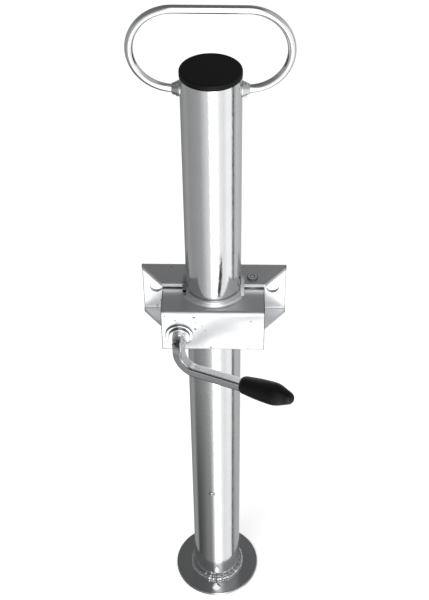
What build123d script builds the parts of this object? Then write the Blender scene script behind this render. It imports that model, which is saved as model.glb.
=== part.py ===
from build123d import *
import os
from math import cos, radians, sin

# Trailer prop stand: a round steel leg on a pressed foot, held in a screw clamp that bolts
# to a trailer frame. Millimetres. The origin is the centre of the foot's underside, +Z runs
# up the leg, -Y is the side with the crank and +Y is the side that bolts to the trailer.
os.makedirs("parts", exist_ok=True)

# Leg tube and foot
tube_diameter = 60.0
tube_wall = 3.0
tube_end_height = 770.0
foot_diameter = 110.0
foot_thickness = 4.0
foot_edge_round = 1.0
foot_hole_diameter = 11.0
foot_hole_from_axis = 44.5
foot_weld_leg = 6.0
foot_weld_crown = 0.8

# Carry handle, sizes to the centre line of its bar
handle_bar_diameter = 8.0
handle_span = 151.0
handle_rise = 82.0
handle_below_tube_end = 15.0
handle_weld_reach = 7.5
handle_weld_radius = 8.0
handle_weld_edge = 0.5

# End cap
cap_flange_thickness = 6.0
cap_flange_overhang = 0.3
cap_edge_round = 2.0
cap_skirt_depth = 15.0
cap_skirt_wall = 2.0
cap_skirt_gap = 0.6
cap_rib_count = 8
cap_rib_width = 1.6
cap_rib_gap = 0.05

# Mounting bracket, a channel pressed from sheet
clamp_height = 477.0
bracket_sheet = 4.0
bracket_width = 160.0
bracket_height = 68.0
bracket_bend = 1.5
flange_depth = 37.0
flange_front_width = 112.0
flange_side_straight = 3.5
mount_hole_diameter = 14.0
mount_hole_from_side = 14.5
gauge_hole_diameter = 2.5
gauge_hole_from_axis = 47.3
gauge_hole_from_back = 8.5

# Clamp jaw, a smaller channel that nests between the bracket's flanges
jaw_sheet = 4.0
jaw_width = 111.0
jaw_side_gap = 2.0
jaw_bend = 0.8
jaw_front_from_axis = 42.7
jaw_screw_side_end = 12.0
collar_height = 7.0
collar_wall = 3.5
collar_foot_round = 3.5
collar_lip_round = 0.8
collar_half_angle = 61.0

# The way through the clamp for the leg
leg_gap = 0.3
plate_gap = 0.5
passage_half_width = 33.7
passage_corner_round = 2.0
jaw_passage_start = 15.0
flange_passage_end = 13.0

# Pivot of the jaw
pivot_from_axis = 42.4
pivot_behind_axis = 8.5
pivot_lug = 11.0
pivot_lug_round = 7.0
pivot_pin_diameter = 8.0
pivot_running_gap = 0.08
pivot_head_diameter = 11.6
pivot_head_height = 2.2
pivot_head_round = 0.6
pivot_dimple_diameter = 5.0
pivot_dimple_depth = 1.2
pivot_washer_diameter = 16.5

# Clamp screw, its nut and its washers
screw_from_axis = 36.4
screw_below_middle = 4.2
screw_diameter = 12.0
screw_thread_diameter = 10.8
screw_thread_start = 18.0
screw_tip_gap = 1.0
screw_tip_chamfer = 1.2
screw_hole_gap = 0.3
screw_collar_diameter = 15.0
screw_collar_height = 3.5
nut_across_flats = 19.0
nut_thickness = 10.0
nut_bore_diameter = 12.4
nut_chamfer = 1.0
nut_corner_trim = 0.3
nut_weld_leg = 3.0
face_washer_diameter = 30.0
face_washer_thickness = 2.5
head_washer_diameter = 23.5
head_washer_thickness = 2.5
washer_edge_round = 0.6
ring_thickness = 1.5
ring_outer_diameter = 19.0
ring_groove_depth = 0.8
ring_mouth_width = 5.0

# Crank arm and grip
arm_width = 11.2
arm_depth = 11.4
arm_corner_round = 2.0
arm_neck_from_collar = 7.8
arm_neck_bend = 7.7
arm_first_run = 31.6
arm_first_angle = 1.5
arm_second_run = 79.6
arm_rise_angle = 8.8
arm_outward_angle = 30.0
arm_elbow_bend = 18.0
arm_in_grip = 40.0
grip_below_arm = 1.1
grip_length = 61.3
grip_mouth_diameter = 17.2
grip_mouth_chamfer = 2.8
grip_neck_diameter = 19.4
grip_neck_slope = 0.13
grip_widest_diameter = 24.5
grip_widest_from_mouth = 37.0
grip_shoulder_diameter = 15.6
grip_shoulder_from_mouth = 53.6

# Places worked out from the sizes above
tube_radius = tube_diameter / 2
passage_radius = tube_radius + leg_gap
plate_front_y = tube_radius + plate_gap
plate_back_y = plate_front_y + bracket_sheet
flange_front_y = plate_back_y - flange_depth
bracket_inner_height = bracket_height - 2 * bracket_sheet
jaw_height = bracket_inner_height - 2 * jaw_side_gap
jaw_top = clamp_height + jaw_height / 2
jaw_front_y = -jaw_front_from_axis
jaw_wall_back_y = jaw_front_y + jaw_sheet
pivot_x, pivot_y = pivot_from_axis, pivot_behind_axis
screw_x = -screw_from_axis
head_face_y = jaw_front_y - face_washer_thickness - head_washer_thickness
collar_face_y = head_face_y - screw_collar_height
screw_z = clamp_height - screw_below_middle
screw_place = (screw_x, screw_z)


# Leg

with BuildPart() as leg_tube:
    with BuildSketch(Plane.XY.offset(foot_thickness)):
        Circle(tube_radius)
        Circle(tube_radius - tube_wall, mode=Mode.SUBTRACT)
    extrude(amount=tube_end_height - foot_thickness)
leg_tube.part.label = "leg_tube"
export_step(leg_tube.part, "parts/leg_tube.step")

# The foot is a pressed disc with one hole, by which it hangs while it is zinc plated.
with BuildPart() as foot_plate:
    with BuildSketch():
        Circle(foot_diameter / 2)
        with Locations((0, -foot_hole_from_axis)):
            Circle(foot_hole_diameter / 2, mode=Mode.SUBTRACT)
    extrude(amount=foot_thickness)
    rims = foot_plate.edges().filter_by(GeomType.CIRCLE).filter_by(lambda e: e.radius > tube_radius)
    fillet(rims, foot_edge_round)
foot_plate.part.label = "foot_plate"
export_step(foot_plate.part, "parts/foot_plate.step")

with BuildPart() as foot_weld:
    with BuildSketch(Plane.XZ):
        with BuildLine():
            Polyline(
                (tube_radius + foot_weld_leg, foot_thickness),
                (tube_radius, foot_thickness),
                (tube_radius, foot_thickness + foot_weld_leg),
            )
            SagittaArc(
                (tube_radius, foot_thickness + foot_weld_leg),
                (tube_radius + foot_weld_leg, foot_thickness),
                foot_weld_crown,
            )
        make_face()
    revolve(axis=Axis.Z)
foot_weld.part.label = "foot_weld"
export_step(foot_weld.part, "parts/foot_weld.step")


# Carry handle: one round bar bent to a long loop. The tube takes the place of the loop's
# bottom middle, so that both ends are coped onto it.

handle_bottom_z = tube_end_height - handle_below_tube_end
handle_top_z = handle_bottom_z + handle_rise
handle_end_radius = handle_rise / 2
handle_straight = handle_span / 2 - handle_end_radius

with BuildPart() as carry_handle:
    with BuildLine(Plane.XZ) as loop:
        Line((0, handle_bottom_z), (handle_straight, handle_bottom_z))
        RadiusArc(
            (handle_straight, handle_bottom_z), (handle_straight, handle_top_z), -handle_end_radius
        )
        Line((handle_straight, handle_top_z), (0, handle_top_z))
        mirror(about=Plane.YZ)
    with BuildSketch(Plane.YZ):
        with Locations((0, handle_bottom_z)):
            Circle(handle_bar_diameter / 2)
    sweep(path=loop.wire())
    with BuildSketch(Plane.XY.offset(handle_bottom_z)):
        Circle(tube_radius)
    extrude(amount=handle_bar_diameter, both=True, mode=Mode.SUBTRACT)
carry_handle.part.label = "carry_handle"
export_step(carry_handle.part, "parts/carry_handle.step")

# A bead runs round each end of the bar where it meets the tube.
handle_weld_end_z = handle_bottom_z + handle_bar_diameter / 2 + handle_weld_edge
for side, bead_name in ((-1, "handle_weld_left"), (1, "handle_weld_right")):
    with BuildPart() as handle_weld:
        with BuildSketch(Plane.XZ):
            with BuildLine():
                Polyline(
                    (side * (tube_radius + handle_weld_reach), handle_bottom_z),
                    (side * (tube_radius - tube_wall), handle_bottom_z),
                    (side * (tube_radius - tube_wall), handle_bottom_z + handle_weld_radius),
                    (side * tube_radius, handle_bottom_z + handle_weld_radius),
                    (side * (tube_radius + handle_weld_reach), handle_weld_end_z),
                    close=True,
                )
            make_face()
        revolve(axis=Axis((0, 0, handle_bottom_z), (1, 0, 0)))
        with BuildSketch(Plane.XY.offset(handle_bottom_z)):
            Circle(tube_radius)
        extrude(amount=2 * handle_weld_radius, both=True, mode=Mode.SUBTRACT)
        add(carry_handle.part, mode=Mode.SUBTRACT)
    handle_weld.part.label = bead_name
    export_step(handle_weld.part, f"parts/{bead_name}.step")


# End cap: a flange on the tube's end and a ribbed skirt pushed into the tube

skirt_radius = tube_radius - tube_wall - cap_skirt_gap
with BuildPart() as end_cap:
    with BuildSketch(Plane.XY.offset(tube_end_height)):
        Circle(tube_radius + cap_flange_overhang)
    extrude(amount=cap_flange_thickness)
    fillet(end_cap.edges().group_by(Axis.Z)[-1], cap_edge_round)
    with BuildSketch(Plane.XY.offset(tube_end_height)):
        Circle(skirt_radius)
        with PolarLocations(skirt_radius, cap_rib_count):
            Rectangle(2 * (cap_skirt_gap - cap_rib_gap), cap_rib_width)
        Circle(skirt_radius - cap_skirt_wall, mode=Mode.SUBTRACT)
    extrude(amount=-cap_skirt_depth)
end_cap.part.label = "end_cap"
export_step(end_cap.part, "parts/end_cap.step")


# Mounting bracket: a channel with a bolt hole in each ear and flanges that taper to the front

with BuildPart() as mounting_bracket:
    with BuildSketch(Plane.YZ):
        with BuildLine():
            FilletPolyline(
                (flange_front_y, clamp_height - bracket_height / 2),
                (plate_back_y, clamp_height - bracket_height / 2),
                (plate_back_y, clamp_height + bracket_height / 2),
                (flange_front_y, clamp_height + bracket_height / 2),
                radius=bracket_bend + bracket_sheet,
            )
            Line(
                (flange_front_y, clamp_height + bracket_height / 2),
                (flange_front_y, clamp_height + bracket_inner_height / 2),
            )
            FilletPolyline(
                (flange_front_y, clamp_height + bracket_inner_height / 2),
                (plate_front_y, clamp_height + bracket_inner_height / 2),
                (plate_front_y, clamp_height - bracket_inner_height / 2),
                (flange_front_y, clamp_height - bracket_inner_height / 2),
                radius=bracket_bend,
            )
            Line(
                (flange_front_y, clamp_height - bracket_inner_height / 2),
                (flange_front_y, clamp_height - bracket_height / 2),
            )
        make_face()
    extrude(amount=bracket_width / 2, both=True)
    # The flanges narrow in a straight line from the ears to their front edge.
    with BuildSketch(Plane.XY.offset(clamp_height)):
        with BuildLine():
            Polyline(
                (bracket_width / 2, plate_front_y - flange_side_straight),
                (flange_front_width / 2, flange_front_y),
                (flange_front_width / 2, flange_front_y - bracket_sheet),
                (bracket_width, flange_front_y - bracket_sheet),
                (bracket_width, plate_front_y - flange_side_straight),
                close=True,
            )
        make_face()
        mirror(about=Plane.YZ)
    extrude(amount=bracket_height, both=True, mode=Mode.SUBTRACT)
    # The leg runs through a U in each flange, wider at its mouth.
    with BuildSketch(Plane.XY.offset(clamp_height)):
        Circle(passage_radius)
        with BuildSketch(mode=Mode.PRIVATE) as mouth:
            with Locations((0, (flange_front_y - bracket_sheet + flange_passage_end) / 2)):
                Rectangle(
                    2 * passage_half_width, flange_passage_end - flange_front_y + bracket_sheet
                )
            fillet(mouth.vertices().group_by(Axis.Y)[-1], passage_corner_round)
        add(mouth.sketch)
    extrude(amount=bracket_height, both=True, mode=Mode.SUBTRACT)
    with BuildSketch(Plane.XZ.offset(-plate_back_y)):
        with Locations((0, clamp_height)):
            with GridLocations(bracket_width - 2 * mount_hole_from_side, 0, 2, 1):
                Circle(mount_hole_diameter / 2)
    extrude(amount=bracket_sheet, mode=Mode.SUBTRACT)
    with BuildSketch(Plane.XY.offset(clamp_height)):
        with Locations((pivot_x, pivot_y)):
            Circle(pivot_pin_diameter / 2)
    extrude(amount=bracket_height, both=True, mode=Mode.SUBTRACT)
    with BuildSketch(Plane.XY.offset(clamp_height)):
        with Locations((-gauge_hole_from_axis, plate_back_y - gauge_hole_from_back)):
            Circle(gauge_hole_diameter / 2)
    extrude(amount=bracket_height, mode=Mode.SUBTRACT)
mounting_bracket.part.label = "mounting_bracket"
export_step(mounting_bracket.part, "parts/mounting_bracket.step")


# Clamp jaw: a channel with two prongs that hug the leg, one of them hinged on the pivot.
# Round the front of the leg each plate is drawn out into a collar.

jaw_back_y = pivot_y + pivot_lug
jaw_inner_height = jaw_height - 2 * jaw_sheet
with BuildPart() as clamp_jaw:
    with BuildSketch(Plane.YZ):
        with BuildLine():
            FilletPolyline(
                (jaw_back_y, clamp_height - jaw_height / 2),
                (jaw_front_y, clamp_height - jaw_height / 2),
                (jaw_front_y, clamp_height + jaw_height / 2),
                (jaw_back_y, clamp_height + jaw_height / 2),
                radius=jaw_bend + jaw_sheet,
            )
            Line(
                (jaw_back_y, clamp_height + jaw_height / 2),
                (jaw_back_y, clamp_height + jaw_inner_height / 2),
            )
            FilletPolyline(
                (jaw_back_y, clamp_height + jaw_inner_height / 2),
                (jaw_wall_back_y, clamp_height + jaw_inner_height / 2),
                (jaw_wall_back_y, clamp_height - jaw_inner_height / 2),
                (jaw_back_y, clamp_height - jaw_inner_height / 2),
                radius=jaw_bend,
            )
            Line(
                (jaw_back_y, clamp_height - jaw_inner_height / 2),
                (jaw_back_y, clamp_height - jaw_height / 2),
            )
        make_face()
    extrude(amount=jaw_width / 2, both=True)
    # The prong on the screw's side stops short of the one on the pivot.
    with BuildSketch(Plane.XY.offset(clamp_height)):
        with Locations((-jaw_width / 2, jaw_back_y)):
            Rectangle(jaw_width, 2 * (jaw_back_y - jaw_screw_side_end))
    extrude(amount=jaw_height, both=True, mode=Mode.SUBTRACT)
    with BuildSketch(Plane.XY.offset(clamp_height)):
        with BuildSketch(mode=Mode.PRIVATE) as throat:
            with Locations((0, jaw_back_y)):
                Rectangle(2 * passage_half_width, 2 * (jaw_back_y + jaw_passage_start))
            fillet(throat.vertices().group_by(Axis.Y)[0], passage_corner_round)
        add(throat.sketch)
        Circle(passage_radius)
    extrude(amount=jaw_height, both=True, mode=Mode.SUBTRACT)
    prong_ends = clamp_jaw.edges().filter_by(Axis.Z).group_by(Axis.Y)[-1]
    fillet(prong_ends, pivot_lug_round)
    collar_start = Plane(
        origin=(0, 0, 0),
        x_dir=(-sin(radians(collar_half_angle)), -cos(radians(collar_half_angle)), 0),
        z_dir=(-cos(radians(collar_half_angle)), sin(radians(collar_half_angle)), 0),
    )
    with BuildSketch(collar_start):
        with BuildLine():
            collar_outer = passage_radius + collar_wall
            collar_inner_start = jaw_top - jaw_sheet / 2
            FilletPolyline(
                (passage_radius, collar_inner_start),
                (passage_radius, jaw_top + collar_height),
                (collar_outer, jaw_top + collar_height),
                (collar_outer, jaw_top + collar_foot_round),
                radius=collar_lip_round,
            )
            RadiusArc(
                (collar_outer, jaw_top + collar_foot_round),
                (collar_outer + collar_foot_round, jaw_top),
                -collar_foot_round,
            )
            Polyline(
                (collar_outer + collar_foot_round, jaw_top),
                (collar_outer + collar_foot_round, collar_inner_start),
                (passage_radius, collar_inner_start),
            )
        make_face()
    revolve(axis=Axis.Z, revolution_arc=2 * collar_half_angle)
    mirror(about=Plane.XY.offset(clamp_height))
    with BuildSketch(Plane.XY.offset(clamp_height)):
        with Locations((pivot_x, pivot_y)):
            Circle(pivot_pin_diameter / 2 + pivot_running_gap)
    extrude(amount=jaw_height, both=True, mode=Mode.SUBTRACT)
    with BuildSketch(Plane.XZ.offset(jaw_front_from_axis)):
        with Locations(screw_place):
            Circle(screw_diameter / 2 + screw_hole_gap)
    extrude(amount=-jaw_sheet, mode=Mode.SUBTRACT)
clamp_jaw.part.label = "clamp_jaw"
export_step(clamp_jaw.part, "parts/clamp_jaw.step")


# Pivot: a rivet through both channels, with a turned dimple in each head, and two thin
# washers that keep the jaw clear of the flanges

bracket_top = clamp_height + bracket_height / 2
with BuildPart() as pivot_rivet:
    with BuildSketch(Plane.XY.offset(clamp_height)):
        with Locations((pivot_x, pivot_y)):
            Circle(pivot_pin_diameter / 2)
    extrude(amount=bracket_height / 2, both=True)
    with BuildSketch(Plane.XY.offset(bracket_top)):
        with Locations((pivot_x, pivot_y)):
            Circle(pivot_head_diameter / 2)
    extrude(amount=pivot_head_height)
    fillet(pivot_rivet.edges().group_by(Axis.Z)[-1], pivot_head_round)
    with Locations((pivot_x, pivot_y, bracket_top + pivot_head_height)):
        Cone(
            0,
            pivot_dimple_diameter / 2,
            pivot_dimple_depth,
            align=(Align.CENTER, Align.CENTER, Align.MAX),
            mode=Mode.SUBTRACT,
        )
    mirror(about=Plane.XY.offset(clamp_height))
pivot_rivet.part.label = "pivot_rivet"
export_step(pivot_rivet.part, "parts/pivot_rivet.step")

with BuildPart() as pivot_washers:
    with BuildSketch(Plane.XY.offset(jaw_top)):
        with Locations((pivot_x, pivot_y)):
            Circle(pivot_washer_diameter / 2)
            Circle(pivot_pin_diameter / 2 + pivot_running_gap, mode=Mode.SUBTRACT)
    extrude(amount=jaw_side_gap)
    mirror(about=Plane.XY.offset(clamp_height))
pivot_washers.part.label = "pivot_washers"
export_step(pivot_washers.part, "parts/pivot_washers.step")


# Nut, welded inside the bracket, with its bead

nut_front_y = plate_front_y - nut_thickness
with BuildPart() as clamp_nut:
    with BuildSketch(Plane.XZ.offset(-plate_front_y)):
        with Locations(screw_place):
            Circle(nut_across_flats / 2 / cos(radians(30)) - nut_corner_trim)
    extrude(amount=nut_thickness)
    chamfer(clamp_nut.edges().group_by(Axis.Y)[0], nut_chamfer)
    with BuildSketch(Plane.XZ.offset(-plate_front_y)):
        with Locations(screw_place):
            RegularPolygon(nut_across_flats / 2, 6, major_radius=False, rotation=30)
    extrude(amount=nut_thickness, mode=Mode.INTERSECT)
    with BuildSketch(Plane.XZ.offset(-plate_front_y)):
        with Locations(screw_place):
            Circle(nut_bore_diameter / 2)
    extrude(amount=nut_thickness, mode=Mode.SUBTRACT)
clamp_nut.part.label = "clamp_nut"
export_step(clamp_nut.part, "parts/clamp_nut.step")

with BuildPart() as nut_weld:
    with BuildSketch(Plane.XZ.offset(-plate_front_y)):
        with Locations(screw_place):
            RegularPolygon(nut_across_flats / 2 + nut_weld_leg, 6, major_radius=False, rotation=30)
    extrude(amount=nut_weld_leg, taper=45)
    add(clamp_nut.part, mode=Mode.SUBTRACT)
    with BuildSketch(Plane.XZ.offset(-plate_front_y)):
        with Locations(screw_place):
            Circle(nut_bore_diameter / 2)
    extrude(amount=nut_thickness, mode=Mode.SUBTRACT)
nut_weld.part.label = "nut_weld"
export_step(nut_weld.part, "parts/nut_weld.step")


# Clamp screw: thread, plain shank with a ring groove, and a collar that bears on the washers

screw_tip_y = plate_front_y - screw_tip_gap
thread_end_y = jaw_wall_back_y + screw_thread_start
groove_y = jaw_wall_back_y + ring_thickness
with BuildPart() as clamp_screw:
    with BuildSketch(Plane.XZ.offset(-screw_tip_y)):
        with Locations(screw_place):
            Circle(screw_thread_diameter / 2)
    extrude(amount=screw_tip_y - thread_end_y)
    chamfer(clamp_screw.edges().group_by(Axis.Y)[-1], screw_tip_chamfer)
    with BuildSketch(Plane.XZ.offset(-thread_end_y)):
        with Locations(screw_place):
            Circle(screw_diameter / 2)
    extrude(amount=thread_end_y - head_face_y)
    with BuildSketch(Plane.XZ.offset(-groove_y)):
        with Locations(screw_place):
            Circle(screw_diameter / 2)
            Circle(screw_diameter / 2 - ring_groove_depth, mode=Mode.SUBTRACT)
    extrude(amount=ring_thickness, mode=Mode.SUBTRACT)
    with BuildSketch(Plane.XZ.offset(-head_face_y)):
        with Locations(screw_place):
            Circle(screw_collar_diameter / 2)
    extrude(amount=screw_collar_height)
clamp_screw.part.label = "clamp_screw"
export_step(clamp_screw.part, "parts/clamp_screw.step")

with BuildPart() as retaining_ring:
    with BuildSketch(Plane.XZ.offset(-groove_y)):
        with Locations(screw_place):
            Circle(ring_outer_diameter / 2)
            Circle(screw_diameter / 2 - ring_groove_depth, mode=Mode.SUBTRACT)
        with Locations((screw_x, screw_z + ring_outer_diameter / 2)):
            Rectangle(ring_mouth_width, ring_outer_diameter, mode=Mode.SUBTRACT)
    extrude(amount=ring_thickness)
retaining_ring.part.label = "retaining_ring"
export_step(retaining_ring.part, "parts/retaining_ring.step")

with BuildPart() as face_washer:
    with BuildSketch(Plane.XZ.offset(jaw_front_from_axis)):
        with Locations(screw_place):
            Circle(face_washer_diameter / 2)
            Circle(screw_diameter / 2 + screw_hole_gap, mode=Mode.SUBTRACT)
    extrude(amount=face_washer_thickness)
    fillet(face_washer.edges().group_by(Axis.Y)[0].sort_by(Edge.length)[-1], washer_edge_round)
face_washer.part.label = "face_washer"
export_step(face_washer.part, "parts/face_washer.step")

with BuildPart() as head_washer:
    with BuildSketch(Plane.XZ.offset(jaw_front_from_axis + face_washer_thickness)):
        with Locations(screw_place):
            Circle(head_washer_diameter / 2)
            Circle(screw_diameter / 2 + screw_hole_gap, mode=Mode.SUBTRACT)
    extrude(amount=head_washer_thickness)
    fillet(head_washer.edges().group_by(Axis.Y)[0].sort_by(Edge.length)[-1], washer_edge_round)
head_washer.part.label = "head_washer"
export_step(head_washer.part, "parts/head_washer.step")


# Crank arm: one forged bar. It turns down out of the screw's collar, and the elbow then turns
# it to the right, outward from the leg and a little upward, so that a hand clears the clamp.

first_heading = Vector(sin(radians(arm_first_angle)), 0, -cos(radians(arm_first_angle)))
second_heading = Vector(
    cos(radians(arm_rise_angle)) * cos(radians(arm_outward_angle)),
    -cos(radians(arm_rise_angle)) * sin(radians(arm_outward_angle)),
    sin(radians(arm_rise_angle)),
)
arm_start = Vector(screw_x, collar_face_y, screw_z)
arm_neck = arm_start - Vector(0, arm_neck_from_collar, 0)
arm_elbow = arm_neck + first_heading * arm_first_run
arm_at_mouth = arm_elbow + second_heading * arm_second_run
# The bar's flat sides lie in the plane of the elbow, so its section starts turned by as much.
section_side = (cos(radians(arm_outward_angle)), 0, sin(radians(arm_outward_angle)))
with BuildPart() as crank_arm:
    with BuildLine() as arm_path:
        FilletPolyline(
            arm_start,
            arm_neck,
            arm_elbow,
            arm_at_mouth + second_heading * arm_in_grip,
            radius=[arm_neck_bend, arm_elbow_bend],
        )
    with BuildSketch(Plane(origin=arm_start, x_dir=section_side, z_dir=(0, -1, 0))):
        RectangleRounded(arm_width, arm_depth, arm_corner_round)
    sweep(path=arm_path.wire())
crank_arm.part.label = "crank_arm"
export_step(crank_arm.part, "parts/crank_arm.step")

# The grip is turned about its own axis, which runs a little below the bar's middle.
grip_side = second_heading.cross(first_heading).normalized()
grip_mouth = arm_at_mouth - grip_side.cross(second_heading) * grip_below_arm
grip_axis = Axis(grip_mouth, second_heading)
with BuildPart() as crank_grip:
    with BuildSketch(Plane(origin=grip_mouth, x_dir=second_heading, z_dir=grip_side)):
        with BuildLine():
            Polyline(
                (0, 0),
                (0, grip_mouth_diameter / 2),
                (grip_mouth_chamfer, grip_neck_diameter / 2),
            )
            Spline(
                (grip_mouth_chamfer, grip_neck_diameter / 2),
                (grip_widest_from_mouth, grip_widest_diameter / 2),
                tangents=((1, grip_neck_slope), (1, 0)),
            )
            Spline(
                (grip_widest_from_mouth, grip_widest_diameter / 2),
                (grip_shoulder_from_mouth, grip_shoulder_diameter / 2),
                (grip_length, 0),
                tangents=((1, 0), (0, -1)),
            )
            Line((grip_length, 0), (0, 0))
        make_face()
    revolve(axis=grip_axis)
    add(crank_arm.part, mode=Mode.SUBTRACT)
crank_grip.part.label = "crank_grip"
export_step(crank_grip.part, "parts/crank_grip.step")
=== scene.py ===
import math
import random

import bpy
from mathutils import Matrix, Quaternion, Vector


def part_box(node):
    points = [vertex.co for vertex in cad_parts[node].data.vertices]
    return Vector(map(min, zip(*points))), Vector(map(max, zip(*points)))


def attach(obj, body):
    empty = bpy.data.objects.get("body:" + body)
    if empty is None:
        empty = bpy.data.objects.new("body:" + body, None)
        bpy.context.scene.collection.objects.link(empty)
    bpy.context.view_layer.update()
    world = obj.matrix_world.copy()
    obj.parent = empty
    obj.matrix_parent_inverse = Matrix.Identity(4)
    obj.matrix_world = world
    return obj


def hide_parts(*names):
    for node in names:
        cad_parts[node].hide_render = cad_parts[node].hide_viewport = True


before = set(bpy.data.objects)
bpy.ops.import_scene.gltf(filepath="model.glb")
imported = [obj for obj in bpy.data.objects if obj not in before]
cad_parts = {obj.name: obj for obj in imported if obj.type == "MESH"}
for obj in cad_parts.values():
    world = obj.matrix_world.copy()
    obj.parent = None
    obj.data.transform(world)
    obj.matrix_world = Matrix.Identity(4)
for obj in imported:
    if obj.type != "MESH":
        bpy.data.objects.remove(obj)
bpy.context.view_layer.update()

# %% [markdown]
# A trailer prop stand, dressed for its photograph.
#
# The frame holds every steel and plastic piece at its real size, so the main shapes are already
# right. What is left is what makes the stand look made: zinc plate over steel that was rolled,
# drawn or forged, weld beads laid by hand, a cut thread, and two black mouldings.

mm = 0.001

# %% [markdown]
# The camera comes first, because everything after it is judged through it.
#
# The photograph was taken from in front and well above: the round foot and the round cap are
# both seen as wide ovals. Following the leg's two edges to where they would meet gives the
# camera's tilt, and the size of the foot against the cap gives its distance. The leg also leans
# a little less than a lens on its axis would show it, because the photograph is cut out of a
# wider one, and the lens shift below says by how much. The camera could be turned by hand until
# the picture fits, but a place, an aim and a small roll can be read and changed one by one.

# %% Camera
camera_aim = Vector((30.0, 0.0, 485.8)) * mm
camera_distance = 1278.0 * mm
camera_elevation = math.radians(42.04)
camera_roll = math.radians(0.45)
picture_height_px = 600
focal_length_px = 1161
lens_axis_right_px = 26.5

toward_camera = Vector((0.0, -math.cos(camera_elevation), math.sin(camera_elevation)))
bpy.ops.object.select_all(action="DESELECT")
bpy.ops.object.camera_add(location=camera_aim + toward_camera * camera_distance)
camera = bpy.context.object
camera.name = "photo_camera"
camera.rotation_mode = "QUATERNION"
level_turn = (-toward_camera).to_track_quat("-Z", "Y")
camera.rotation_quaternion = level_turn @ Quaternion((0.0, 0.0, 1.0), camera_roll)
camera.data.lens = camera.data.sensor_width * focal_length_px / picture_height_px
camera.data.shift_x = -lens_axis_right_px / picture_height_px
camera.data.clip_start = 0.01
bpy.context.scene.camera = camera
print("Lens in mm:", round(camera.data.lens, 2), "on a sensor of", camera.data.sensor_width)

# %% [markdown]
# Two small helpers carry every material below.
#
# A designer picks a colour as a hex value off a screen, which is sRGB, while a shader wants
# linear light, so one function turns the one into the other. The second function adds a node,
# sets its settings, and fills its inputs with a plain value or with another node's output. It
# saves a line for every link, which keeps a material short enough to read.

# %% Helpers for colours and nodes
def linear(hex_colour):
    """Turns an sRGB hex value such as D6D8DA into the linear colour that shaders use."""
    channels = [int(hex_colour[start : start + 2], 16) / 255 for start in (0, 2, 4)]
    curve = [c / 12.92 if c <= 0.04045 else ((c + 0.055) / 1.055) ** 2.4 for c in channels]
    return (*curve, 1.0)


def add_node(tree, kind, inputs=None, **settings):
    """Adds a node to a tree, with its settings and with values or links for its inputs."""
    node = tree.nodes.new(kind)
    for name, value in settings.items():
        setattr(node, name, value)
    for name, value in (inputs or {}).items():
        if isinstance(value, bpy.types.NodeSocket):
            tree.links.new(value, node.inputs[name])
        else:
            node.inputs[name].default_value = value
    return node


print("Mid grey 808080 in linear light:", round(linear("808080")[0], 3))

# %% [markdown]
# Bright zinc has hardly any colour of its own: it shows the room.
#
# In the photograph the same upright bands run down the whole leg: white in front, grey on the
# left, a thin dark line at the right. Bands that keep their place from top to bottom come from
# a surround that is far away, so the room is made in the world and not with cards beside the
# leg. A face that looks left or right mirrors twice that angle, so a list of directions round
# the stand, each with a brightness, is enough to place every band. Three such rings are used:
# one near the floor, which the lower leg mirrors, one at the height that the upper leg
# mirrors, and one above the horizon for rounded edges and flat tops.

# %% Screens round the stand
# Degrees from the stand's front, positive to its right, and how bright each screen is.
floor_screens = [
    (-180, 0.30), (-140, 0.28), (-122, 0.34), (-110, 0.32), (-99, 0.07), (-84, 0.08),
    (-62, 0.14), (-42, 0.24), (-28, 0.24), (-18, 0.38), (-9, 1.00), (-2, 1.90), (18, 1.90),
    (28, 1.10), (44, 0.96), (64, 1.04), (77, 1.00), (85, 0.60), (88, 0.04), (91, 0.04),
    (95, 0.32), (112, 0.46), (140, 0.46), (160, 0.50), (180, 0.30),
]
low_screens = [
    (-180, 0.30), (-150, 0.25), (-110, 0.38), (-92, 0.33), (-70, 0.36), (-44, 0.42),
    (-32, 0.58), (-22, 0.78), (-13, 0.84), (-7, 1.10), (-1, 3.00), (18, 3.00), (26, 1.14),
    (47, 0.94), (62, 1.16), (78, 1.16), (85, 0.84), (87, 0.03), (91, 0.03), (94, 0.42),
    (106, 0.66), (130, 0.58), (150, 0.50), (164, 0.60), (180, 0.40),
]
high_screens = [
    (-180, 0.17), (-174, 0.11), (-150, 0.16), (-100, 0.18), (-60, 0.18), (-16, 0.24), (-6, 1.70),
    (16, 1.70), (34, 0.50), (70, 0.50), (120, 0.50), (150, 0.30), (172, 0.26), (180, 0.17),
]

world = bpy.data.worlds.new("photo_studio")
bpy.context.scene.world = world
world.use_nodes = True
sky = world.node_tree
sky.nodes.clear()
direction = add_node(sky, "ShaderNodeTexCoord").outputs["Generated"]
axes = add_node(sky, "ShaderNodeSeparateXYZ", {"Vector": direction}).outputs
front = add_node(sky, "ShaderNodeMath", {0: axes["Y"], 1: -1.0}, operation="MULTIPLY")
turn = add_node(sky, "ShaderNodeMath", {0: axes["X"], 1: front.outputs[0]}, operation="ARCTAN2")
around = add_node(
    sky, "ShaderNodeMapRange", {"Value": turn.outputs[0], "From Min": -math.pi, "From Max": math.pi}
)
rings = []
for screens in (floor_screens, low_screens, high_screens):
    ramp = add_node(sky, "ShaderNodeValToRGB", {"Fac": around.outputs["Result"]})
    stops = ramp.color_ramp.elements
    while len(stops) < len(screens):
        stops.new(0.5)
    # Moving a stop can sort the stops, so all of them are moved before any is coloured.
    for stop, (degrees, level) in zip(stops, screens):
        stop.position = degrees / 360 + 0.5
    for stop, (degrees, level) in zip(stops, screens):
        stop.color = (level, level, level, 1.0)
    rings.append(ramp.outputs["Color"])
print("Screens in each ring:", len(floor_screens), len(low_screens), len(high_screens))

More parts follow.
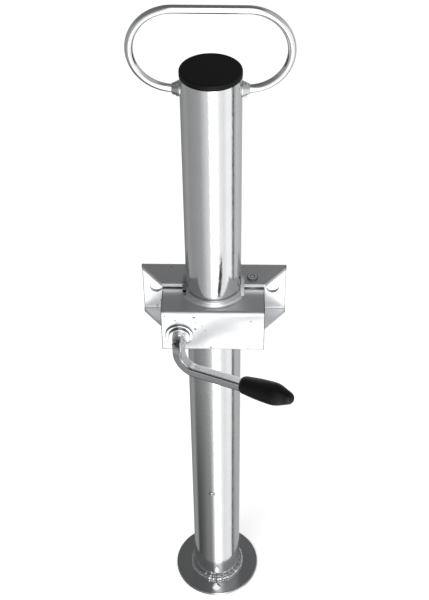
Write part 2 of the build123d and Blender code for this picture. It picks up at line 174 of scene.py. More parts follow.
# %% [markdown]
# The rings are stacked by height, and one dark flag hangs above the stand.
#
# A rounded edge mirrors the whole arc from the floor in front to the wall behind, so it tells
# what was overhead. On the clamp's bend and on the handle's bar the white reaches almost to
# straight above and then stops at a dark band, which is a studio's black flag that keeps light
# off the background. The flat tops look past its far edge and stay mid grey.

# %% Stacking the rings and hanging the flag
def rising(low_degrees, high_degrees):
    """A share that goes from 0 to 1 between two heights above the horizon."""
    share = add_node(
        sky,
        "ShaderNodeMapRange",
        {
            "Value": axes["Z"],
            "From Min": math.sin(math.radians(low_degrees)),
            "From Max": math.sin(math.radians(high_degrees)),
        },
        interpolation_type="SMOOTHSTEP",
    )
    return share.outputs["Result"]


low_from_degrees, low_to_degrees = -54, -40
high_from_degrees, high_to_degrees = 0, 24
lower_room = add_node(
    sky,
    "ShaderNodeMix",
    {"Factor": rising(low_from_degrees, low_to_degrees), 6: rings[0], 7: rings[1]},
    data_type="RGBA",
)
room = add_node(
    sky,
    "ShaderNodeMix",
    {
        "Factor": rising(high_from_degrees, high_to_degrees),
        6: lower_room.outputs[2],
        7: rings[2],
    },
    data_type="RGBA",
)
flag_height_degrees, flag_inside_degrees, flag_outside_degrees = 92, 28, 38
flag_height = math.radians(flag_height_degrees)
flag_direction = (0.0, -math.cos(flag_height), math.sin(flag_height))
flag_level = 0.13
along_flag = add_node(
    sky, "ShaderNodeVectorMath", {0: direction, 1: flag_direction}, operation="DOT_PRODUCT"
)
flag_share = add_node(
    sky,
    "ShaderNodeMapRange",
    {
        "Value": along_flag.outputs["Value"],
        "From Min": math.cos(math.radians(flag_outside_degrees)),
        "From Max": math.cos(math.radians(flag_inside_degrees)),
    },
    interpolation_type="SMOOTHSTEP",
)
flagged_room = add_node(
    sky,
    "ShaderNodeMix",
    {
        "Factor": flag_share.outputs["Result"],
        6: room.outputs[2],
        7: (flag_level, flag_level, flag_level, 1.0),
    },
    data_type="RGBA",
)
flag_start_degrees = flag_height_degrees - flag_outside_degrees
flag_end_degrees = flag_height_degrees + flag_outside_degrees
print("The flag covers degrees over the front:", flag_start_degrees, "to", flag_end_degrees)

# %% [markdown]
# Only mirrored rays see the screens.
#
# Light Path tells a shader what kind of ray is asking. A glossy ray gets the screens, and every
# other ray gets an even grey, so a matt colour renders as it is written and the metal still
# has its bands. Lamps alone could light the stand too, but they would need many cards to fill
# the mirrors.

# %% The world's two lights
room_level = 0.80
screens_light = add_node(sky, "ShaderNodeBackground", {"Color": flagged_room.outputs[2]})
even_light = add_node(sky, "ShaderNodeBackground", {"Color": (room_level,) * 3 + (1.0,)})
ray = add_node(sky, "ShaderNodeLightPath").outputs
mixed = add_node(
    sky,
    "ShaderNodeMixShader",
    {0: ray["Is Glossy Ray"], 1: even_light.outputs[0], 2: screens_light.outputs[0]},
)
add_node(sky, "ShaderNodeOutputWorld", {"Surface": mixed.outputs[0]})
print("Nodes in the world:", len(sky.nodes))

# %% [markdown]
# The floor is a plain pale sheet that keeps the stand's soft shadow.
#
# A camera ray gets a little light of its own from it, so the lit floor comes out as white as in
# the photograph and only the shadow is drawn. Polished metal looks past the floor to the
# screens, because the real floor near the foot was out of the light that the metal shows.

# %% Floor
floor_side = 12.0
floor_glow = 0.28
bpy.ops.object.select_all(action="DESELECT")
bpy.ops.mesh.primitive_plane_add(size=floor_side)
floor = bpy.context.object
floor.name = "studio_floor"
floor.visible_glossy = False

floor_paint = bpy.data.materials.new("matt_white_floor_paint")
floor_paint.use_nodes = True
tree = floor_paint.node_tree
tree.nodes.clear()
paint = add_node(tree, "ShaderNodeBsdfDiffuse", {"Color": linear("F2F2F2")})
lift = add_node(tree, "ShaderNodeEmission", {"Color": linear("FFFFFF"), "Strength": floor_glow})
dark = add_node(tree, "ShaderNodeEmission", {"Color": linear("000000"), "Strength": 0.0})
ray = add_node(tree, "ShaderNodeLightPath").outputs
seen = add_node(
    tree, "ShaderNodeMixShader", {0: ray["Is Camera Ray"], 1: dark.outputs[0], 2: lift.outputs[0]}
)
both = add_node(tree, "ShaderNodeAddShader", {0: paint.outputs[0], 1: seen.outputs[0]})
add_node(tree, "ShaderNodeOutputMaterial", {"Surface": both.outputs[0]})
floor.data.materials.append(floor_paint)
print("Floor side in metres:", round(floor.dimensions.x, 1))

# %% [markdown]
# One large softbox gives the black mouldings their form.
#
# It stands to the left of the camera and above it. Mirrors don't see it, because its square
# would show as a hard white spot on every washer, where the photograph has none.

# %% Softbox
softbox_place = (-0.9, -1.4, 2.2)
softbox_side = 1.4
softbox_watts = 22.0
bpy.ops.object.light_add(type="AREA", location=softbox_place)
softbox = bpy.context.object
softbox.name = "softbox"
softbox.data.size = softbox_side
softbox.data.energy = softbox_watts
softbox.visible_glossy = False
softbox.rotation_mode = "QUATERNION"
softbox.rotation_quaternion = (camera_aim - softbox.location).to_track_quat("-Z", "Y")
print("Softbox power in watts:", softbox.data.energy)

# %% [markdown]
# Zinc plate is a thin bright metal skin that copies the steel under it.
#
# What tells a rolled sheet from a drawn tube or a forging is the grain that was there before
# plating, so one function makes the metal and each piece of steel gives it its own grain: how
# coarse it is, in which direction it is stretched and how deep. The plate's tone drifts a
# little over a few centimetres, as the bath left it, and dark specks the size of a pinhead stay
# where the zinc didn't take. A random pattern of specks would be shorter to write, but a list of
# places, each a small dark ball that colours the metal it touches, keeps every speck where the
# photograph has it. The same dark balls also paint shade in a ring round the tube's weld spatter
# and a dark reflection of the crank's elbow on the clamp's jaw.

# %% Zinc plate
drift_mm = 25.0
roughness_drift = 0.12
speck_and_painted_shade_colour = "55575A"
speck_and_painted_shade_share = 0.9


def zinc_plate(name, tones, roughness, grain_mm, grain_stretch, grain_depth_mm, marks_mm=()):
    """Bright zinc plate over steel whose grain and specks show through it, with painted shade where
    listed marks stand for it.
    """
    material = bpy.data.materials.new(name)
    material.use_nodes = True
    tree = material.node_tree
    shader = tree.nodes["Principled BSDF"]
    place = add_node(tree, "ShaderNodeTexCoord").outputs["Object"]
    along = add_node(tree, "ShaderNodeMapping", {"Vector": place, "Scale": grain_stretch})
    grain = add_node(
        tree,
        "ShaderNodeTexNoise",
        {"Vector": along.outputs[0], "Scale": 1 / (grain_mm * mm), "Detail": 3.0},
    )
    patches = add_node(
        tree, "ShaderNodeTexNoise", {"Vector": place, "Scale": 1 / (drift_mm * mm), "Detail": 4.0}
    )
    tint = add_node(
        tree,
        "ShaderNodeMix",
        {"Factor": patches.outputs["Fac"], 6: linear(tones[0]), 7: linear(tones[1])},
        data_type="RGBA",
    )
    specks_and_painted_shade = 0.0
    # Each listed mark is a dark ball mixed into the colour; the lists hold specks, painted shade
    # and a painted reflection.
    for x, y, z, radius in marks_mm:
        away = add_node(
            tree,
            "ShaderNodeVectorMath",
            {0: place, 1: (x * mm, y * mm, z * mm)},
            operation="DISTANCE",
        )
        mark = add_node(
            tree,
            "ShaderNodeMapRange",
            {
                "Value": away.outputs["Value"],
                "From Min": 0.5 * radius * mm,
                "From Max": radius * mm,
                "To Min": speck_and_painted_shade_share,
                "To Max": 0.0,
            },
        )
        specks_and_painted_shade = add_node(
            tree, "ShaderNodeMath", {0: specks_and_painted_shade, 1: mark.outputs[0]}, operation="MAXIMUM"
        ).outputs[0]
    with_specks_and_painted_shade = add_node(
        tree,
        "ShaderNodeMix",
        {"Factor": specks_and_painted_shade, 6: tint.outputs[2], 7: linear(speck_and_painted_shade_colour)},
        data_type="RGBA",
    )
    tree.links.new(with_specks_and_painted_shade.outputs[2], shader.inputs["Base Color"])
    rough = add_node(
        tree,
        "ShaderNodeMapRange",
        {
            "Value": patches.outputs["Fac"],
            "From Min": 0.3,
            "From Max": 0.7,
            "To Min": roughness * (1 - roughness_drift),
            "To Max": roughness * (1 + roughness_drift),
        },
    )
    tree.links.new(rough.outputs[0], shader.inputs["Roughness"])
    bump = add_node(
        tree, "ShaderNodeBump", {"Height": grain.outputs["Fac"], "Distance": grain_depth_mm * mm}
    )
    bump.inputs["Strength"].default_value = 1.0
    tree.links.new(bump.outputs[0], shader.inputs["Normal"])
    shader.inputs["Metallic"].default_value = 1.0
    return material


print("The plate's tone drifts over", drift_mm, "mm")

# %% [markdown]
# Each kind of steel gets its own zinc, from the satin sheet to the mirror of the drawn tube.
#
# A drawn tube, a bar and a turned screw are smooth, so their plate is the brightest. Rolled
# sheet has a matt skin, which is why the clamp's faces are even greys while the tube has sharp
# bands. A forging is rougher than the bar and a weld is lumpier, and the plate hides neither.
# The tube's grain is stretched along the leg and drawn deeper than it is, so that the edges of
# the bands waver a little as they do in the photograph. The tube also has a ring of dark specks
# of painted shade round its one drop of weld spatter.

# %% Zinc on each kind of steel
# Specks where the zinc didn't take, and one painted reflection: the mark at x -40.3 mm, z 494.0 mm,
# just above the washers, paints the crank's elbow mirrored in the jaw.
clamp_specks_and_painted_reflection_mm = [
    (-20.1, -42.3, 498.6, 2.1), (-19.0, -42.3, 481.7, 1.8), (-18.7, -42.3, 491.0, 1.2),
    (-51.6, -42.3, 500.0, 1.3), (-40.3, -42.3, 494.0, 1.2), (-12.0, -42.3, 486.1, 0.9),
    (-2.5, -42.3, 454.5, 1.6), (37.9, -42.3, 453.5, 1.2), (40.8, -42.3, 493.1, 1.2),
    (-60.4, 30.3, 457.3, 1.5), (-65.5, 30.3, 449.1, 1.3), (-8.0, -42.3, 479.5, 0.9),
]
sheet_zinc = zinc_plate(
    "bright_zinc_on_rolled_sheet", ("F4F5F6", "D2D4D6"), 0.38, 1.4, (1, 1, 1), 0.006, clamp_specks_and_painted_reflection_mm
)
spatter_middle_mm = (-4.4, -29.6, 184.4)
# Painted shade: a ring of dark specks round the weld spatter on the tube.
spatter_shade_ring_mm, spatter_shade_speck_mm, spatter_shade_count = 2.7, 2.0, 6
spatter_shade_marks_mm = []
for step in range(spatter_shade_count):
    turn = math.radians(360 / spatter_shade_count * step + 20)
    across, upward = spatter_shade_ring_mm * math.cos(turn), spatter_shade_ring_mm * math.sin(turn)
    middle_x, middle_y, middle_z = spatter_middle_mm
    spatter_shade_marks_mm.append((middle_x + across, middle_y, middle_z + upward, spatter_shade_speck_mm))
tube_zinc = zinc_plate(
    "bright_zinc_on_drawn_tube", ("E8E9EA", "DBDDDE"), 0.12, 2.0, (1, 1, 0.4), 0.080, spatter_shade_marks_mm
)
bar_tones = ("EAEBEC", "DDDFE0")
bar_zinc = zinc_plate("bright_zinc_on_drawn_bar", bar_tones, 0.16, 1.0, (1, 1, 1), 0.004)
forged_zinc = zinc_plate(
    "zinc_on_forged_steel", ("EEF0F1", "D8DADC"), 0.26, 1.6, (1, 1, 1), 0.006
)
weld_zinc = zinc_plate("zinc_on_weld_bead", ("E8E9EA", "C4C6C8"), 0.18, 1.1, (1, 1, 1), 0.03)
disc_zinc = zinc_plate(
    "bright_zinc_on_pressed_disc", ("D2D4D5", "BCBEC0"), 0.16, 1.0, (1, 1, 1), 0.004
)
rivet_zinc = zinc_plate(
    "bright_zinc_on_peened_rivet", ("F6F7F8", "ECEDEE"), 0.50, 0.6, (1, 1, 1), 0.01
)
print("Zinc finishes:", [m.name for m in bpy.data.materials if "zinc_on" in m.name])

# %% [markdown]
# Dark lines of painted reflection run along the crank's forging.
#
# The two halves of the die met along the bar's corners, and the fin they left was trimmed off.
# The lines are painted near those corners, where the faces point in a few listed directions.
# Facing is told from the piece itself, so the painted dark reflection turns with the crank.
# Painting it by place would need a list of places along each bend.

# %% Painted dark reflection on the forging
def darken(material, share, hex_colour):
    """Mixes a dark colour over a metal where the share is 1."""
    tree = material.node_tree
    colour = tree.nodes["Principled BSDF"].inputs["Base Color"]
    clean = colour.links[0].from_socket
    mixed = add_node(
        tree, "ShaderNodeMix", {"Factor": share, 6: clean, 7: linear(hex_colour)}, data_type="RGBA"
    )
    tree.links.new(mixed.outputs[2], colour)


painted_reflection_directions = [
    (0.21, -0.98, 0.0), (-0.16, -0.88, 0.45), (-0.45, -0.56, 0.70), (-0.40, -0.81, -0.43),
]
painted_reflection_starts, painted_reflection_full = 0.93, 0.97
tree = forged_zinc.node_tree
facing = add_node(tree, "ShaderNodeTexCoord").outputs["Normal"]
on_painted_reflection = 0.0
for reflection_direction in painted_reflection_directions:
    near = add_node(
        tree, "ShaderNodeVectorMath", {0: facing, 1: reflection_direction}, operation="DOT_PRODUCT"
    ).outputs["Value"]
    step = add_node(
        tree,
        "ShaderNodeMapRange",
        {"Value": near, "From Min": painted_reflection_starts, "From Max": painted_reflection_full},
    )
    on_painted_reflection = add_node(
        tree, "ShaderNodeMath", {0: on_painted_reflection, 1: step.outputs[0]}, operation="MAXIMUM"
    ).outputs[0]
# Painted dark reflection: 727476 is mixed over the forging's zinc where its faces point in the
# listed directions.
darken(forged_zinc, on_painted_reflection, "727476")
print("Nodes in the forging's material:", len(forged_zinc.node_tree.nodes))

# %% [markdown]
# Round pieces get rings of painted shade: a washer at its rim, the rivet's head at two places.
#
# The painted shade stands for the dark arc at a washer's rim and for the shadows at the rivet's
# edge and round the dimple pressed in its head. Such a ring is told by the distance from the line
# through the piece's middle, which works on any round piece once that line's direction is left
# out of the distance. The mask darkens the metal's colour and nothing else.

# %% Painted shade rings on the washers and the rivet
rim_shade_starts_mm, rim_shade_full_mm = 0.2, 0.05


def from_middle(tree, node, across):
    """The distance from the line through a node's middle, with the two directions it counts."""
    low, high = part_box(node)
    middle = (low + high) / 2 * Vector(across)
    place = add_node(tree, "ShaderNodeTexCoord").outputs["Object"]
    flat = add_node(tree, "ShaderNodeVectorMath", {0: place, 1: across}, operation="MULTIPLY")
    away = add_node(
        tree, "ShaderNodeVectorMath", {0: flat.outputs[0], 1: middle}, operation="DISTANCE"
    )
    return away.outputs["Value"]


def washer_with_painted_rim_shade(node):
    """Bright zinc whose colour darkens with painted shade at the rim of one washer."""
    low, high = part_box(node)
    radius = (high.x - low.x) / 2
    material = zinc_plate(node + "_zinc_on_punching", bar_tones, 0.16, 1.0, (1, 1, 1), 0.004)
    tree = material.node_tree
    painted_rim_shade = add_node(
        tree,
        "ShaderNodeMapRange",
        {
            "Value": from_middle(tree, node, (1, 0, 1)),
            "From Min": radius - rim_shade_starts_mm * mm,
            "From Max": radius - rim_shade_full_mm * mm,
        },
    )
    # Painted shade: 808284 darkens the zinc's colour at the washer's rim.
    darken(material, painted_rim_shade.outputs[0], "808284")
    return material


def painted_shade_ring(material, node, radius_mm, half_width_mm, hex_colour):
    """Paints a ring of shade on a metal, round the upright line through a node's middle."""
    tree = material.node_tree
    away = from_middle(tree, node, (1, 1, 0))
    off = add_node(tree, "ShaderNodeMath", {0: away, 1: radius_mm * mm}, operation="SUBTRACT")
    off = add_node(tree, "ShaderNodeMath", {0: off.outputs[0]}, operation="ABSOLUTE")
    on_painted_shade_ring = add_node(
        tree,
        "ShaderNodeMapRange",
        {
            "Value": off.outputs[0],
            "From Min": 0.5 * half_width_mm * mm,
            "From Max": half_width_mm * mm,
            "To Min": 1.0,
            "To Max": 0.0,
        },
    )
    darken(material, on_painted_shade_ring.outputs[0], hex_colour)


# Painted shadow: two rings of 6A6C6E on the rivet's head, at its edge and round its dimple.
for ring_radius_mm in (5.6, 2.4):
    painted_shade_ring(rivet_zinc, "pivot_rivet", ring_radius_mm, 0.7, "6A6C6E")
face_washer_zinc = washer_with_painted_rim_shade("face_washer")
head_washer_zinc = washer_with_painted_rim_shade("head_washer")
print("Nodes in the rivet's material:", len(rivet_zinc.node_tree.nodes))

# %% [markdown]
# The clamp's sheet has a line of painted shade along the edges that a shear cut.
#
# Both channels were cut to width before they were bent, and a shear rolls the edge over; the
# shade of that rolled edge is painted as a darker line. It is all that parts the white ears from
# the white background. It lies at the two ends of each channel, so it is told by the distance
# from the piece's middle plane.

# %% Painted edge shade on the sheet
edge_shade_starts_mm, edge_shade_full_mm = 1.1, 0.6


def sheared_sheet(node, edge_shade_colour):
    """The sheet's zinc with a line of painted shade along a node's left and right edges."""
    low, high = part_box(node)
    half_width = (high.x - low.x) / 2
    material = sheet_zinc.copy()
    material.name = node + "_zinc_on_sheared_sheet"
    tree = material.node_tree
    place = add_node(tree, "ShaderNodeTexCoord").outputs["Object"]
    side = add_node(tree, "ShaderNodeSeparateXYZ", {"Vector": place}).outputs["X"]
    away = add_node(
        tree, "ShaderNodeMath", {0: side, 1: (low.x + high.x) / 2}, operation="SUBTRACT"
    )
    away = add_node(tree, "ShaderNodeMath", {0: away.outputs[0]}, operation="ABSOLUTE")
    on_painted_edge_shade = add_node(
        tree,
        "ShaderNodeMapRange",
        {
            "Value": away.outputs[0],
            "From Min": half_width - edge_shade_starts_mm * mm,
            "From Max": half_width - edge_shade_full_mm * mm,
        },
    )
    darken(material, on_painted_edge_shade.outputs[0], edge_shade_colour)
    return material


# Painted shade: 8C8E90 along the bracket's edges, 646668 along the jaw's edges.
bracket_zinc = sheared_sheet("mounting_bracket", "8C8E90")
jaw_zinc = sheared_sheet("clamp_jaw", "646668")
print("Sheared pieces:", bracket_zinc.name, jaw_zinc.name)

# %% [markdown]
# The cap and the grip are injection moulded, one matt and one satin.
#
# A mould for such parts is spark eroded, which leaves a fine even bite in the plastic instead
# of a gloss. Both are nearly black, so what shows their form is only the light on that skin: a
# broad dull sheen on the cap, a narrower and brighter one on the grip.

# %% Black mouldings
def black_moulding(name, colour, shine, roughness, spark_mm, spark_depth_mm):
    """Injection moulded plastic with the fine spark texture of its mould."""
    material = bpy.data.materials.new(name)
    material.use_nodes = True
    tree = material.node_tree
    shader = tree.nodes["Principled BSDF"]
    place = add_node(tree, "ShaderNodeTexCoord").outputs["Object"]
    spark = add_node(
        tree, "ShaderNodeTexNoise", {"Vector": place, "Scale": 1 / (spark_mm * mm), "Detail": 2.0}
    )
    bump = add_node(
        tree, "ShaderNodeBump", {"Height": spark.outputs["Fac"], "Distance": spark_depth_mm * mm}
    )
    bump.inputs["Strength"].default_value = 1.0
    tree.links.new(bump.outputs[0], shader.inputs["Normal"])
    shader.inputs["Base Color"].default_value = linear(colour)
    shader.inputs["Roughness"].default_value = roughness
    shader.inputs["Specular IOR Level"].default_value = shine
    return material


cap_plastic = black_moulding("matt_black_polyethylene", "070708", 0.20, 0.50, 0.6, 0.03)
grip_plastic = black_moulding("satin_black_polypropylene", "090909", 0.28, 0.38, 0.5, 0.02)
print("Moulded plastics:", cap_plastic.name, grip_plastic.name)

# %% [markdown]
# Every node of the frame gets the finish of the steel or plastic that it is made of.
#
# One table from node to finish keeps them together, so that a change of finish is one word.

# %% Finishes of the frame's nodes
finishes = {
    "leg_tube": tube_zinc,
    "foot_plate": disc_zinc,
    "foot_weld": weld_zinc,
    "carry_handle": bar_zinc,
    "handle_weld_left": weld_zinc,
    "handle_weld_right": weld_zinc,
    "end_cap": cap_plastic,
    "mounting_bracket": bracket_zinc,
    "pivot_rivet": rivet_zinc,
    "pivot_washers": sheet_zinc,
    "clamp_nut": forged_zinc,
    "nut_weld": weld_zinc,
    "clamp_jaw": jaw_zinc,
    "face_washer": face_washer_zinc,
    "head_washer": head_washer_zinc,
    "clamp_screw": bar_zinc,
    "retaining_ring": sheet_zinc,
    "crank_arm": forged_zinc,
    "crank_grip": grip_plastic,
}
for node, material in finishes.items():
    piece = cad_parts[node]
    piece.data.materials.clear()
    piece.data.materials.append(material)
print("Nodes with a finish:", len(finishes), "of", len(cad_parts))

# %% [markdown]
# Pieces that stand for a node are handed over to the frame in one place.
#
# A weld bead, the thread and the forging need a finer mesh than the frame's. Each takes the
# node's place, rides the same body and names the same finish, so the stand still moves as one.

# %% Handing a piece over
def hand_over(piece, name, node, body, material):
    """Names a finished piece and lets it stand for a node of the frame."""
    piece.name = name
    piece.data.name = name
    piece.data.materials.clear()
    piece.data.materials.append(material)
    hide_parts(node)
    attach(piece, body)
    size = [round(side / mm, 1) for side in piece.dimensions]
    print(name, "faces:", len(piece.data.polygons), "size in mm:", size)


# %% [markdown]
# Metal that flowed together has one skin.
#
# Beads and forgings are built from overlapping solids. A Boolean union would keep every sharp
# line where they meet, while the Remesh modifier lays one skin of small squares over all of
# them, and a Smooth modifier takes its little steps away. How often it smooths is the choice
# between a crisp bead and a soft one.

# %% Melting solids into one skin
def melt_together(objects, grain_mm, smoothing):
    """Joins solids and remeshes them as one skin, as metal that flowed together."""
    bpy.ops.object.select_all(action="DESELECT")
    for piece in objects:
        piece.select_set(True)
    bpy.context.view_layer.objects.active = objects[0]
    bpy.ops.object.join()
    bpy.ops.object.transform_apply(location=True, rotation=True, scale=True)
    whole = bpy.context.object
    skin = whole.modifiers.new("skin", "REMESH")
    skin.mode = "VOXEL"
    skin.voxel_size = grain_mm * mm
    bpy.ops.object.modifier_apply(modifier=skin.name)
    soften = whole.modifiers.new("soften", "SMOOTH")
    soften.factor = 0.5
    soften.iterations = smoothing
    bpy.ops.object.modifier_apply(modifier=soften.name)
    bpy.ops.object.shade_smooth()
    return whole


# %% [markdown]
# A weld bead is a row of drops that froze one upon the next.
#
# The welder moves on by about half a drop at a time, so the bead keeps a ripple, and where the
# hand paused a lump stays. The bead is made the same way: one drop is modelled, copied along
# the seam with a little chance in its size and place, and all are melted into one skin. A swept
# profile would be smoother, and that is what a hand weld never is.

# %% Drops of weld metal
drop_segments, drop_rings = 20, 12
smallest_drop, largest_drop = 0.85, 1.12


def weld_drops(places, drop_mm, chance_mm, seed):
    """Copies one drop to each place of a seam, each a little different."""
    chance = random.Random(seed)
    bpy.ops.object.select_all(action="DESELECT")
    bpy.ops.mesh.primitive_uv_sphere_add(
        segments=drop_segments, ring_count=drop_rings, radius=drop_mm * mm
    )
    pattern = bpy.context.object
    drops = []
    for place in places:
        drop = pattern.copy()
        drop.data = pattern.data.copy()
        bpy.context.collection.objects.link(drop)
        shake = Vector([chance.uniform(-chance_mm, chance_mm) for axis in range(3)])
        drop.location = (Vector(place) + shake) * mm
        drop.scale = Vector([chance.uniform(smallest_drop, largest_drop) for axis in range(3)])
        drops.append(drop)
    bpy.data.objects.remove(pattern)
    return drops


print("Faces of one weld drop:", drop_segments * drop_rings)

# %% [markdown]
# The foot's bead runs all round, in the corner between tube and disc.
#
# The seam is a circle just outside the tube. Its radius and height come from the frame's own
# bead, and the number of drops from the circle's length. Three more drops are the lumps in
# front that the photograph shows.

# %% Foot weld
seam_low, seam_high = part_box("foot_weld")
tube_radius_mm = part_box("leg_tube")[1].x / mm
bead_leg_mm = seam_high.x / mm - tube_radius_mm
seam_radius_mm = tube_radius_mm + 0.40 * bead_leg_mm
seam_height_mm = seam_low.z / mm + 0.36 * bead_leg_mm
foot_drop_mm = 0.56 * bead_leg_mm
drop_step_mm = 2.3
drop_count = round(2 * math.pi * seam_radius_mm / drop_step_mm)


def round_the_tube(degrees, radius_mm, height_mm):
    """A place beside the tube, by its angle from the front."""
    angle = math.radians(degrees)
    return (radius_mm * math.sin(angle), -radius_mm * math.cos(angle), height_mm)


foot_seam = [
    round_the_tube(360 * step / drop_count, seam_radius_mm, seam_height_mm)
    for step in range(drop_count)
]
lump_degrees = (-18, 3, 9)
foot_lumps = [
    round_the_tube(degrees, seam_radius_mm + 0.5, seam_height_mm + 0.4) for degrees in lump_degrees
]
seam_drop_mm, seam_wander_mm = foot_drop_mm * 0.92, 0.45
lump_drop_mm, lump_wander_mm = foot_drop_mm * 1.12, 0.2
foot_drops = weld_drops(foot_seam, seam_drop_mm, seam_wander_mm, seed=11)
foot_drops += weld_drops(foot_lumps, lump_drop_mm, lump_wander_mm, seed=12)
foot_bead = melt_together(foot_drops, 0.4, 2)
hand_over(foot_bead, "foot_weld_bead", "foot_weld", "leg", weld_zinc)
print("Drops round the foot:", drop_count)

# %% [markdown]
# A drop of spatter flew off the welding arc and froze on the tube above the foot.
#
# It is a few small drops melted together, half sunk into the tube's front, so it has a foot of
# its own and no gap behind it. A bump in the tube's material would be lost in a side view.

# %% Weld spatter
spatter_drop_mm = 1.2
spatter_spots = ((-11.0, 0.6), (-8.6, 2.6), (-5.0, 1.6), (-5.8, -1.8), (-9.6, -1.6))
spatter_places = [
    round_the_tube(degrees, tube_radius_mm, spatter_middle_mm[2] + up)
    for degrees, up in spatter_spots
]
spatter = melt_together(weld_drops(spatter_places, spatter_drop_mm, 0.2, seed=5), 0.2, 1)
spatter.name = spatter.data.name = "weld_spatter"
spatter.data.materials.append(weld_zinc)
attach(spatter, "leg")
print("Spatter size in mm:", [round(side / mm, 1) for side in spatter.dimensions])

# %% [markdown]
# Each end of the carry handle is welded all round where the bar meets the tube.
#
# The frame has a plain fillet there. A copy of it is melted together with a few drops, so the
# bead keeps its seat and gets a hand weld's lumps: in the photograph the left one was built up
# to a peak under the bar, and the right one curls round it.

# %% Handle welds
def copy_of_node(node, name):
    """A free copy of a node's mesh with its doubled points merged."""
    copy = bpy.data.objects.new(name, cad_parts[node].data.copy())
    bpy.context.collection.objects.link(copy)
    bpy.ops.object.select_all(action="DESELECT")
    copy.select_set(True)
    bpy.context.view_layer.objects.active = copy
    bpy.ops.object.mode_set(mode="EDIT")
    bpy.ops.mesh.select_all(action="SELECT")
    bpy.ops.mesh.remove_doubles(threshold=0.000002)
    bpy.ops.object.mode_set(mode="OBJECT")
    return copy


weld_low, weld_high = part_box("handle_weld_right")
bar_end_height_mm = (weld_low.z + weld_high.z) / 2 / mm
left_lumps = [(-34.6, -2.6, -3.4), (-32.0, -3.4, 3.0), (-32.0, -2.0, -5.2)]
right_lumps = [(35.2, -3.0, -2.2), (32.4, -4.4, 0.8), (33.0, -1.0, 4.6), (31.8, -3.0, -5.0)]
handle_drop_mm = 2.3
for name, lumps in (("left", left_lumps), ("right", right_lumps)):
    node = "handle_weld_" + name
    places = [(x, y, z + bar_end_height_mm) for x, y, z in lumps]
    drops = weld_drops(places, handle_drop_mm, 0.2, seed=len(lumps))
    bead = melt_together([copy_of_node(node, "bead_copy")] + drops, 0.4, 4)
    hand_over(bead, node + "_bead", node, "leg", weld_zinc)

# %% [markdown]
# The nut's bead is out of sight behind the jaw, and is laid the same way.
#
# Its seam follows the nut's six sides where they meet the back plate.

# %% Nut weld
nut_low, nut_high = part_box("clamp_nut")
nut_middle = (nut_low + nut_high) / 2 / mm
nut_corner_mm = (nut_high.z - nut_low.z) / 2 / mm + 0.9
nut_drop_mm, drops_a_side = 1.6, 6
plate_front_mm = nut_high.y / mm
nut_seam = []
for corner in range(6):
    first = math.radians(90 + 60 * corner)
    second = math.radians(90 + 60 * (corner + 1))
    for step in range(drops_a_side):
        share = step / drops_a_side
        across = math.cos(first) * (1 - share) + math.cos(second) * share
        upward = math.sin(first) * (1 - share) + math.sin(second) * share
        x = nut_middle.x + nut_corner_mm * across
        z = nut_middle.z + nut_corner_mm * upward
        nut_seam.append((x, plate_front_mm - 1.1, z))
nut_bead = melt_together(weld_drops(nut_seam, nut_drop_mm, 0.15, seed=41), 0.35, 2)
hand_over(nut_bead, "nut_weld_bead", "nut_weld", "bracket", weld_zinc)

# %% [markdown]
# The clamp screw gets a real thread.
#
# A thread is one groove that climbs by its pitch each turn. The Screw modifier does the same
# with a drawn profile: one tooth, root to crest to root, is turned and lifted turn after turn.
# A cylinder with a striped bump would do from afar, but the thread is seen end on through the
# clamp's open side. Its crest is kept a little under a real M12's, because the nut has a plain
# bore here and the screw leans in it when the jaw swings.

# %% Thread
pitch_mm = 1.75
crest_mm = 5.55
root_mm = crest_mm - 0.61 * pitch_mm
thread_start_mm = -20.7
screw_low, screw_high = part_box("clamp_screw")
thread_end_mm = screw_high.y / mm
turns = math.ceil((thread_end_mm - thread_start_mm) / pitch_mm) + 2
flat_mm = pitch_mm / 8
trimmed_mm = 1.5 * pitch_mm
round_steps = 40
profile_mm = [
    (root_mm, 0.0), (root_mm, flat_mm), (crest_mm, pitch_mm / 2 - flat_mm / 2),
    (crest_mm, pitch_mm / 2 + flat_mm / 2), (root_mm, pitch_mm - flat_mm), (root_mm, pitch_mm),
]
tooth = bpy.data.meshes.new("thread_tooth")
edges = [(point, point + 1) for point in range(len(profile_mm) - 1)]
tooth.from_pydata([(radius * mm, 0.0, up * mm) for radius, up in profile_mm], edges, [])
thread = bpy.data.objects.new("thread", tooth)
bpy.context.collection.objects.link(thread)
bpy.ops.object.select_all(action="DESELECT")
thread.select_set(True)
bpy.context.view_layer.objects.active = thread
climb = thread.modifiers.new("climb", "SCREW")
climb.axis = "Z"
climb.angle = 2 * math.pi
climb.screw_offset = pitch_mm * mm
climb.iterations = turns
climb.steps = round_steps
climb.render_steps = round_steps
climb.use_merge_vertices = True
climb.merge_threshold = 0.00001
bpy.ops.object.modifier_apply(modifier=climb.name)
print("Turns of thread:", turns, "vertices:", len(thread.data.vertices))

# %% [markdown]
# Both ends of the thread are cut square and closed.
#
# The helix starts and ends in a ramp, as a thread does before it is parted off. Two planes cut
# the ramps away, one leaves a flat tip, and filling the cut closes the solid.

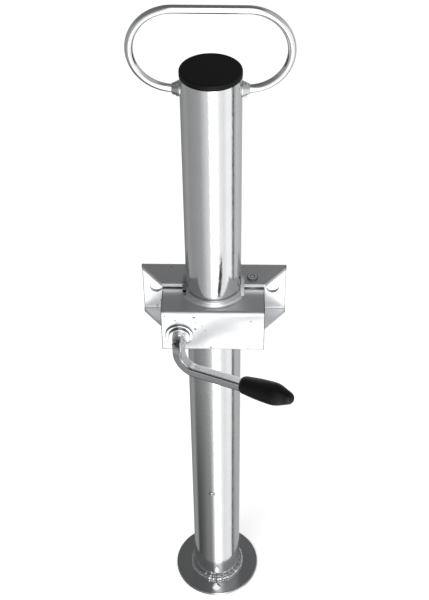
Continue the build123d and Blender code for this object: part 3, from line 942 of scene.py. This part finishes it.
# %% Trimming the thread
bpy.ops.object.mode_set(mode="EDIT")
bpy.ops.mesh.select_all(action="SELECT")
bpy.ops.mesh.bisect(
    plane_co=(0, 0, trimmed_mm * mm), plane_no=(0, 0, 1), use_fill=True, clear_inner=True
)
length = (thread_end_mm - thread_start_mm) * mm
bpy.ops.mesh.select_all(action="SELECT")
bpy.ops.mesh.bisect(
    plane_co=(0, 0, trimmed_mm * mm + length),
    plane_no=(0, 0, 1),
    use_fill=True,
    clear_outer=True,
)
bpy.ops.mesh.select_all(action="SELECT")
bpy.ops.mesh.normals_make_consistent(inside=False)
bpy.ops.object.mode_set(mode="OBJECT")
screw_middle = (screw_low + screw_high) / 2
thread.rotation_euler = (math.radians(-90), 0.0, 0.0)
thread.location = (screw_middle.x, thread_start_mm * mm - trimmed_mm * mm, screw_middle.z)
bpy.ops.object.transform_apply(location=True, rotation=True, scale=True)
low = min(corner[1] for corner in thread.bound_box) / mm
high = max(corner[1] for corner in thread.bound_box) / mm
print("The thread runs from y =", round(low, 2), "to", round(high, 2), "mm")

# %% [markdown]
# The plain shank and the collar are kept from the frame's screw.
#
# A copy of its mesh is cut off where the thread begins and joined to the thread, so every seat
# of the screw stays where the frame has it.

# %% Shank, collar and thread as one screw
shank_overlap_mm = 0.3
shank = copy_of_node("clamp_screw", "shank")
bpy.ops.object.mode_set(mode="EDIT")
bpy.ops.mesh.select_all(action="SELECT")
bpy.ops.mesh.bisect(
    plane_co=(0, (thread_start_mm + shank_overlap_mm) * mm, 0),
    plane_no=(0, 1, 0),
    use_fill=True,
    clear_outer=True,
)
bpy.ops.object.mode_set(mode="OBJECT")
thread.select_set(True)
bpy.ops.object.join()
bpy.ops.object.shade_smooth_by_angle(angle=math.radians(30))
screw = bpy.context.object
hand_over(screw, "clamp_screw_threaded", "clamp_screw", "crank", bar_zinc)

# %% [markdown]
# The crank is forged in one heat: a round head flows down into the square bar.
#
# In the photograph the head is wider than the bar and its faces fan out from a point. A squat
# ball over the bar's first bend, melted into a copy of the frame's bar, gives that flow. The
# fine skin also softens the bar's corners as a forging die does, and the smoothing that clears
# the skin's little steps draws it in a tenth of a millimetre, which the last modifier fills out.

# %% Forged head and bar
head_radius_mm = 7.6
fill_mm = 0.12
arm_copy = copy_of_node("crank_arm", "arm_copy")
arm_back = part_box("crank_arm")[1].y
head_middle = Vector((screw_middle.x, arm_back - 5.0 * mm, screw_middle.z - 1.8 * mm))
bpy.ops.object.select_all(action="DESELECT")
bpy.ops.mesh.primitive_uv_sphere_add(
    segments=48, ring_count=24, radius=head_radius_mm * mm, location=head_middle
)
head = bpy.context.object
head.scale = (1.0, 0.74, 0.80)
forging = melt_together([arm_copy, head], 0.4, 12)
fill = forging.modifiers.new("fill", "DISPLACE")
fill.mid_level = 0.0
fill.strength = fill_mm * mm
bpy.ops.object.modifier_apply(modifier=fill.name)
hand_over(forging, "crank_forging", "crank_arm", "crank", forged_zinc)

# %% [markdown]
# The view transform stays Standard, so a colour comes out as it was written.

# %% View transform
bpy.context.scene.view_settings.view_transform = "Standard"
